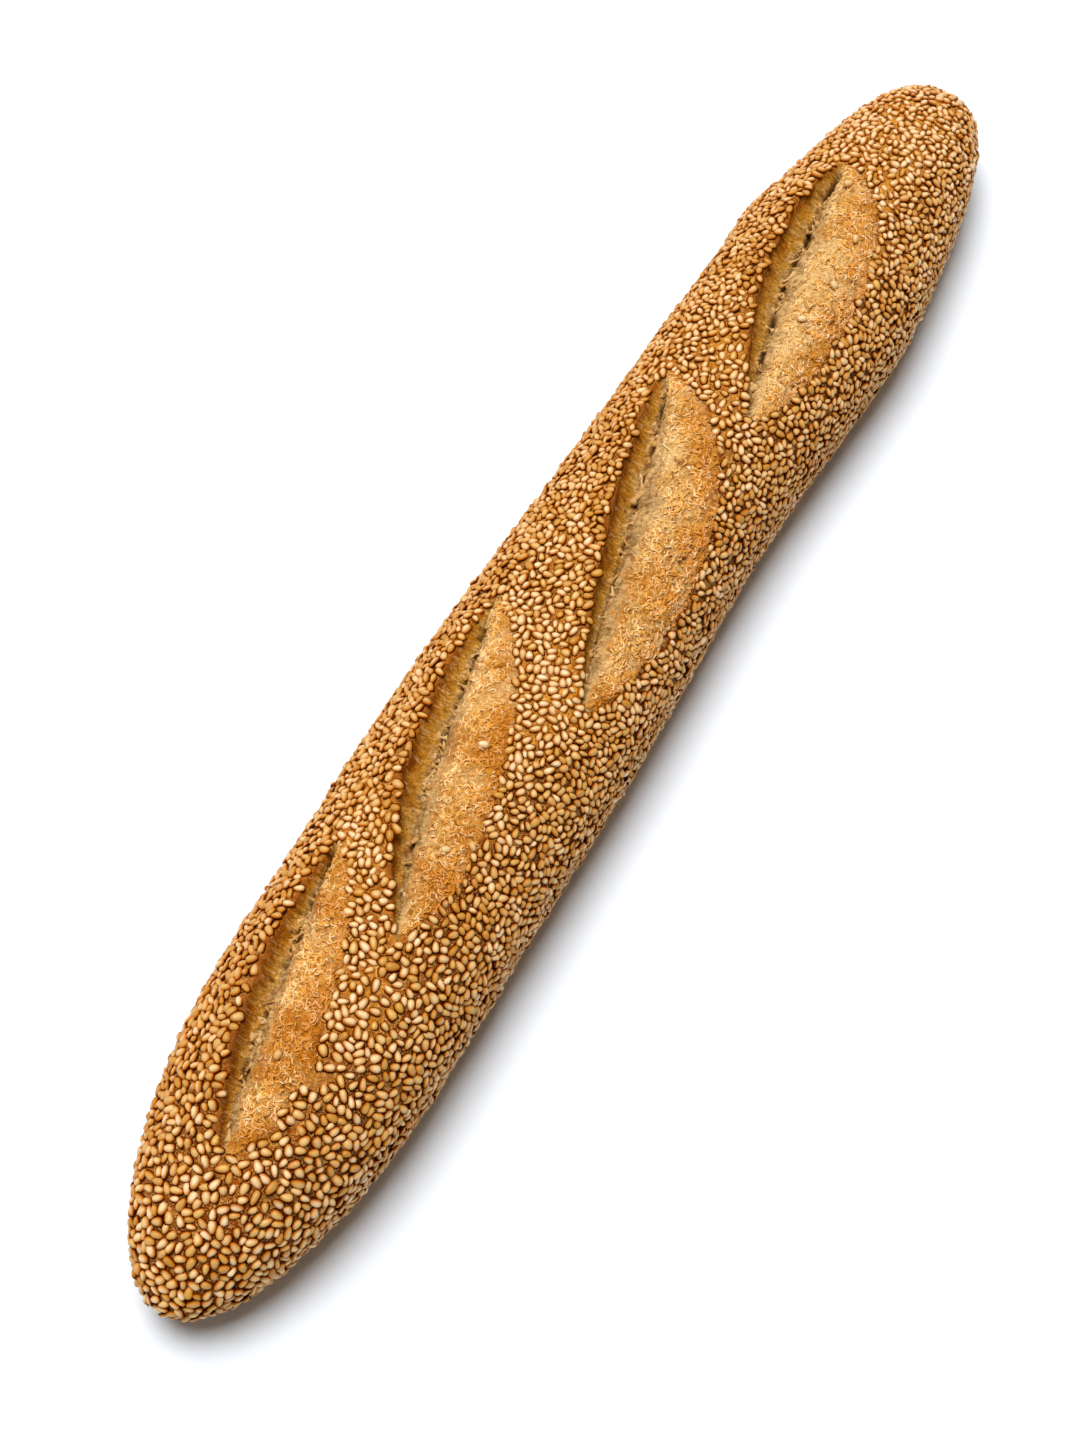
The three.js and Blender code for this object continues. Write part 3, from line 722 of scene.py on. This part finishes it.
# Toast follows the crust's bake, painted shade of the -Y side included; seeds facing -Y are lightened as
# painted light, since the lamp reaches them less.
toast_and_shading = seed_marks["bake_and_shade"] * 0.5 + 0.35 * seed_marks["ear"] ** 2 + rng.normal(0, 0.2, seed_count)
toast_and_shading += 0.16 * smooth(normals[:, 1], 0.3, 0.9) - 0.08 * smooth(-normals[:, 1], 0.3, 0.9)
toast_and_shading -= 0.12 * smooth(-spots[:, 0], 120, 205)
browned = 0.18 * smooth(normals[:, 1], 0.2, 0.8)
# Least to most toasted, with painted shade and light, each from its lightest to its darkest colour.
seed_colours = {
    "seeds_pale": ("FCE0B2", "F0C88C"),
    "seeds_cream": ("F8DAA6", "E8BE76"),
    "seeds_honey": ("F2D098", "DEB05A"),
    "seeds_golden": ("EAC486", "D09C42"),
    "seeds_toasted": ("E4B876", "BE862C"),
}
for name, at in zip(seed_colours, np.array_split(np.argsort(toast_and_shading), len(seed_colours))):
    lift = np.where(seed_marks["under"][at] > 0.5, 0.0, sinks[at])
    centres = spots[at] + normals[at] * lift[:, None]
    matrices = leaned(axis[at], beside[at], normals[at], tilts[at], shapes[at] * sizes[at, None])
    co = np.einsum("nij,vj->nvi", matrices, points) + centres[:, None, :]
    co[..., 2] = np.maximum(co[..., 2], 0.02)
    seeds = many_copies(name, template, co, {
        "tone": rng.random(len(at)),
        "browned": browned[at],
        "bake_and_shade": seed_marks["bake_and_shade"][at],
        "tip": np.repeat(tip_share[None], len(at), 0),
        "low": low_shading[at, None] * low_share[None],
    })
    hull = Finish(name + "_hull")
    light, dark = seed_colours[name]
    colour = hull.mixed(hull.mark("tone"), tint(light), tint(dark))
    colour = hull.mixed(hull.between(hull.speckle(1.3, 2), 0.45, 0.75, 0, 0.4), colour, tint(dark))
    colour = hull.mixed(hull.between(hull.mark("tip"), 0.55, 1, 0, 0.5), colour, tint("B0742C"))
    colour = hull.mixed(hull.mark("browned"), colour, tint("C88A30"))
    # Painted shade: the seed's lower sides turn orange-brown and its foot rim dark brown, less where the
    # crust is paler.
    colour = hull.mixed(hull.between(hull.mark("low"), 0.06, 0.22, 0, 0.42), colour, tint("E8A844"))
    colour = hull.mixed(hull.between(hull.mark("low"), 0.07, 0.4, 0, 0.93), colour, tint("B65E02"))
    foot = hull.times(hull.between(hull.mark("low"), 0.42, 0.57, 0, 0.97),
                      hull.between(hull.mark("bake_and_shade"), 0.1, 0.5, 0.55, 1))
    colour = hull.mixed(foot, colour, tint("461000"))
    seeds.data.materials.append(hull.finish(colour, 0.42, hull.bump(hull.speckle(0.35, 2), 0.04)))
    hull.put(hull.between(hull.mark("low"), 0.08, 0.34, 0.38, 0.0), hull.shader.inputs["Specular IOR Level"])
    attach(seeds, "root")
    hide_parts("loaf")
template.free()


# ---- The curls on the blooms ----
# Where the cuts tore open, the dough's dry surface stretched and broke into short curled strings, 1 to 2.6 mm
# long, some of them paler and some browner. They are part of the same baked dough, half sunk in the bloom.
CURL_COUNT, CURL_STEPS, CURL_SIDES = 5400, 4, 4


def string_shape(steps, sides):
    """A short round string along Z, with the row and the place in the ring of each of its points."""
    string = bmesh.new()
    bmesh.ops.create_cone(string, cap_ends=True, segments=sides, radius1=0.5, radius2=0.5, depth=1)
    long_edges = [e for e in string.edges if abs(e.verts[0].co.z - e.verts[1].co.z) > 0.5]
    bmesh.ops.subdivide_edges(string, edges=long_edges, cuts=steps - 1)
    sort_points(string)
    points = np.array([v.co for v in string.verts])
    return string, np.rint((points[:, 2] + 0.5) * steps).astype(int), points[:, :2]


def along_lines(lines, widths, upward, row, ring):
    """The points of strings that follow the lines, each as wide as given at each row of its points."""
    ahead = np.gradient(lines, axis=1)
    side = np.cross(upward[:, None], ahead)
    side /= np.maximum(np.linalg.norm(side, axis=2), 1e-9)[..., None]
    up = np.cross(ahead, side)
    up /= np.maximum(np.linalg.norm(up, axis=2), 1e-9)[..., None]
    out = side[:, row] * ring[:, :1] + up[:, row] * ring[:, 1:]
    return lines[:, row] + out * widths[:, row, None]


rng = np.random.default_rng(911)
matted = marks["bloom"] * smooth(marks["cut"], 0.28, 0.65) * (0.35 + smooth(lumps + 0.6 * wide, -0.25, 0.35))
chosen, weights = dropped_on(areas * matted[corners].mean(1), CURL_COUNT)
curl_normals = units(on_crust(crust_normals, chosen, weights))
axis, beside = flat_on(curl_normals, rng.uniform(0, 2 * math.pi, CURL_COUNT))
run = np.linspace(-0.5, 0.5, CURL_STEPS + 1)
length = rng.uniform(1.0, 2.6, CURL_COUNT)[:, None, None]
bend = rng.normal(0, 1.5, CURL_COUNT)[:, None, None]
sway = rng.normal(0, 0.22, CURL_COUNT)[:, None, None]
lines = on_crust(moved, chosen, weights)[:, None] + axis[:, None] * run[:, None] * length \
    + beside[:, None] * (bend * run[:, None] ** 2 * length + sway * np.sin(2 * math.pi * run)[:, None])
on_skin, _, _ = settle(lines.reshape(-1, 3))
arch = rng.normal(0.04, 0.1, (CURL_COUNT, 1)) + rng.uniform(0.0, 0.2, (CURL_COUNT, 1)) * (1 - 8 * run**2)
lines = on_skin.reshape(lines.shape) + curl_normals[:, None] * arch[..., None]
widths = rng.uniform(0.3, 0.64, CURL_COUNT)[:, None] * (1 - 0.6 * np.abs(2 * run) ** 3)
string, row, ring = string_shape(CURL_STEPS, CURL_SIDES)
curl_strings = many_copies("bloom_curls", string, along_lines(lines, widths, curl_normals, row, ring), {
    "tone": rng.random(CURL_COUNT),
    "cut": on_crust(marks["cut"], chosen, weights),
    "rim": on_crust(marks["rim"], chosen, weights),
    "browned": on_crust(marks["browned"], chosen, weights)})
string.free()
dry = Finish("dry_curls")
place_in_cut = dry.plus(dry.mark("cut"), dry.between(dry.speckle(6, 3), 0.3, 0.7, -0.2, 0.2))
colour = dry.ramp(place_in_cut, TORN_TINTS)
colour = dry.mixed(dry.between(dry.mark("tone"), 0.5, 1, 0, 0.8), colour, tint("FFE6B6"))
colour = dry.mixed(dry.between(dry.mark("tone"), 0.5, 0, 0, 0.7), colour, tint("CC8018"))
colour = dry.mixed(dry.between(dry.mark("rim"), 0.1, 1, 0, 0.35), colour, tint("B8701C"))
colour = dry.mixed(dry.between(dry.mark("browned"), 0.0, 0.5, 0, 0.6), colour, tint("D0801A"))
curl_strings.data.materials.append(dry.finish(colour, 0.6, dry.bump(dry.speckle(0.3, 2), 0.05)))
dry.shader.inputs["Specular IOR Level"].default_value = 0.2
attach(curl_strings, "root")
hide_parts("loaf")


# ---- The crumb threads in the cuts ----
# Gluten strands that the tearing dough drew out across the bottom of each cut, and that dried in the oven.
# Each is a soft thread of crumb a few tenths of a millimetre thick, joined to the loaf at both ends.
THREADS_A_SLASH, THREAD_STEPS, THREAD_SIDES = 26, 8, 5

rng = np.random.default_rng(57)
begins, ends = [], []
for number, (slash, holes) in enumerate(zip(SLASHES, HOLES)):
    in_cut = np.flatnonzero((opened > 0.5) & (np.abs(cut_place[:, 2] - 50 * number) < 1))
    half = np.linalg.norm(np.subtract(slash["end"], slash["start"])) / 2
    for _ in range(THREADS_A_SLASH):
        at, long, _, _ = holes[rng.integers(len(holes))]
        share = at + rng.uniform(-0.5, 0.5) * long / half if rng.random() < 0.65 else rng.uniform(-0.85, 0.9)
        share = min(max(share, -0.93), 0.93)
        o = (1 - share * share) ** OPENING_POWER
        begin = np.array([share * half, (slash["foot"] - rng.uniform(0.4, 1.8)) * o])
        end = np.array([begin[0] + rng.normal(0, 2.4), (slash["foot"] + rng.uniform(0.5, 1.6)) * o])
        for spot, found in ((begin, begins), (end, ends)):
            found.append(moved[in_cut[np.argmin(((cut_place[in_cut, :2] - spot) ** 2).sum(1))]])
begins, ends = np.array(begins), np.array(ends)
count = len(begins)
run = np.linspace(0, 1, THREAD_STEPS + 1)
hang = np.stack([rng.normal(0, 0.6, count), rng.normal(0, 0.3, count), rng.uniform(-0.8, 0.1, count)], 1)
sag = hang[:, None] * (4 * run * (1 - run))[:, None]
lines = begins[:, None] + (ends - begins)[:, None] * run[:, None] + sag
widths = rng.uniform(0.3, 0.75, count)[:, None] * (1 + 2.4 * np.abs(2 * run - 1) ** 2)
string, row, ring = string_shape(THREAD_STEPS, THREAD_SIDES)
threads = many_copies("crumb_threads", string,
                      along_lines(lines, widths, np.repeat([[0.0, 0.0, 1.0]], count, 0), row, ring),
                      {"tone": rng.random(count)})
string.free()
strand = Finish("dried_crumb")
colour = strand.mixed(strand.mark("tone"), tint("E4C084"), tint("C08C44"))
colour = strand.mixed(strand.between(strand.speckle(1.5, 2), 0.4, 0.7, 0, 0.4), colour, tint("B47C34"))
threads.data.materials.append(strand.finish(colour, 0.7, strand.bump(strand.speckle(0.3, 2), 0.05)))
strand.shader.inputs["Specular IOR Level"].default_value = 0.2
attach(threads, "root")
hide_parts("loaf")


# ---- The table, the lights and the camera ----
# A white table under one large soft lamp almost straight above, with light from low down all round that is
# stronger from the photo's left.
TABLE_HALF = 4
floor_mesh = bpy.data.meshes.new("table_top")
plane = bmesh.new()
bmesh.ops.create_grid(plane, x_segments=1, y_segments=1, size=TABLE_HALF)
plane.to_mesh(floor_mesh)
plane.free()
table_top = bpy.data.objects.new("table_top", floor_mesh)
bpy.context.scene.collection.objects.link(table_top)
white = Finish("white_table")
floor_mesh.materials.append(white.finish((0.865, 0.92, 0.985, 1), 0.9, None))
white.shader.inputs["Specular IOR Level"].default_value = 0.0


def toward(heading, elevation):
    """The direction at an angle from +X round to +Y, and at an angle above the table."""
    flat = math.cos(elevation)
    return Vector((math.cos(heading) * flat, math.sin(heading) * flat, math.sin(elevation)))


LAMP_DISTANCE, LAMP_SIZE, LAMP_POWER = 2.6, 1.6, 83
LAMP_HEADING, LAMP_ELEVATION = math.radians(75), math.radians(80.2)
lamp_data = bpy.data.lights.new("softbox", "AREA")
lamp_data.shape = "DISK"
lamp_data.size = LAMP_SIZE
lamp_data.energy = LAMP_POWER
lamp = bpy.data.objects.new("softbox", lamp_data)
bpy.context.scene.collection.objects.link(lamp)
lamp_side = toward(LAMP_HEADING, LAMP_ELEVATION)
lamp.location = lamp_side * LAMP_DISTANCE
lamp.rotation_mode = "QUATERNION"
lamp.rotation_quaternion = lamp_side.to_track_quat("Z", "Y")

world = bpy.data.worlds.new("studio")
world.use_nodes = True
bpy.context.scene.world = world
sky = world.node_tree
background = sky.nodes["Background"]
coordinates = sky.nodes.new("ShaderNodeTexCoord")
split = sky.nodes.new("ShaderNodeSeparateXYZ")
fade = sky.nodes.new("ShaderNodeMapRange")
for socket, number in (("From Min", 0.03), ("From Max", 0.2), ("To Min", 1.0), ("To Max", 0.12)):
    fade.inputs[socket].default_value = number
sky.links.new(coordinates.outputs["Generated"], split.inputs["Vector"])
sky.links.new(split.outputs["Z"], fade.inputs["Value"])
lean_left = sky.nodes.new("ShaderNodeVectorMath")
lean_left.operation = "DOT_PRODUCT"
lean_left.inputs[1].default_value = (-0.505, 0.863, 0)
brighter = sky.nodes.new("ShaderNodeMapRange")
for socket, number in (("From Min", -1.0), ("From Max", 1.0), ("To Min", 0.7), ("To Max", 1.26)):
    brighter.inputs[socket].default_value = number
strength = sky.nodes.new("ShaderNodeMath")
strength.operation = "MULTIPLY"
sky.links.new(coordinates.outputs["Generated"], lean_left.inputs[0])
sky.links.new(lean_left.outputs["Value"], brighter.inputs["Value"])
sky.links.new(fade.outputs["Result"], strength.inputs[0])
sky.links.new(brighter.outputs["Result"], strength.inputs[1])
sky.links.new(strength.outputs["Value"], background.inputs["Strength"])
background.inputs["Color"].default_value = (1, 0.95, 0.88, 1)

AZIMUTH, ELEVATION = math.radians(-59.67), math.radians(64)
TARGET, DISTANCE = Vector((-0.0341, -0.00413, 0.020)), 0.6
SENSOR_WIDTH, FOCAL_PIXELS, PHOTO_HEIGHT = 36, 2260, 1448
camera_data = bpy.data.cameras.new("camera")
camera_data.sensor_width = SENSOR_WIDTH
camera_data.lens = SENSOR_WIDTH * FOCAL_PIXELS / PHOTO_HEIGHT
camera = bpy.data.objects.new("camera", camera_data)
bpy.context.scene.collection.objects.link(camera)
level = math.cos(ELEVATION)
back = Vector((math.sin(AZIMUTH) * level, -math.cos(AZIMUTH) * level, math.sin(ELEVATION)))
camera.location = TARGET + back * DISTANCE
camera.rotation_mode = "QUATERNION"
camera.rotation_quaternion = (-back).to_track_quat("-Z", "Y")
camera_data.clip_start, camera_data.clip_end = 0.05, 20
bpy.context.scene.camera = camera
bpy.context.scene.view_settings.view_transform = "Standard"
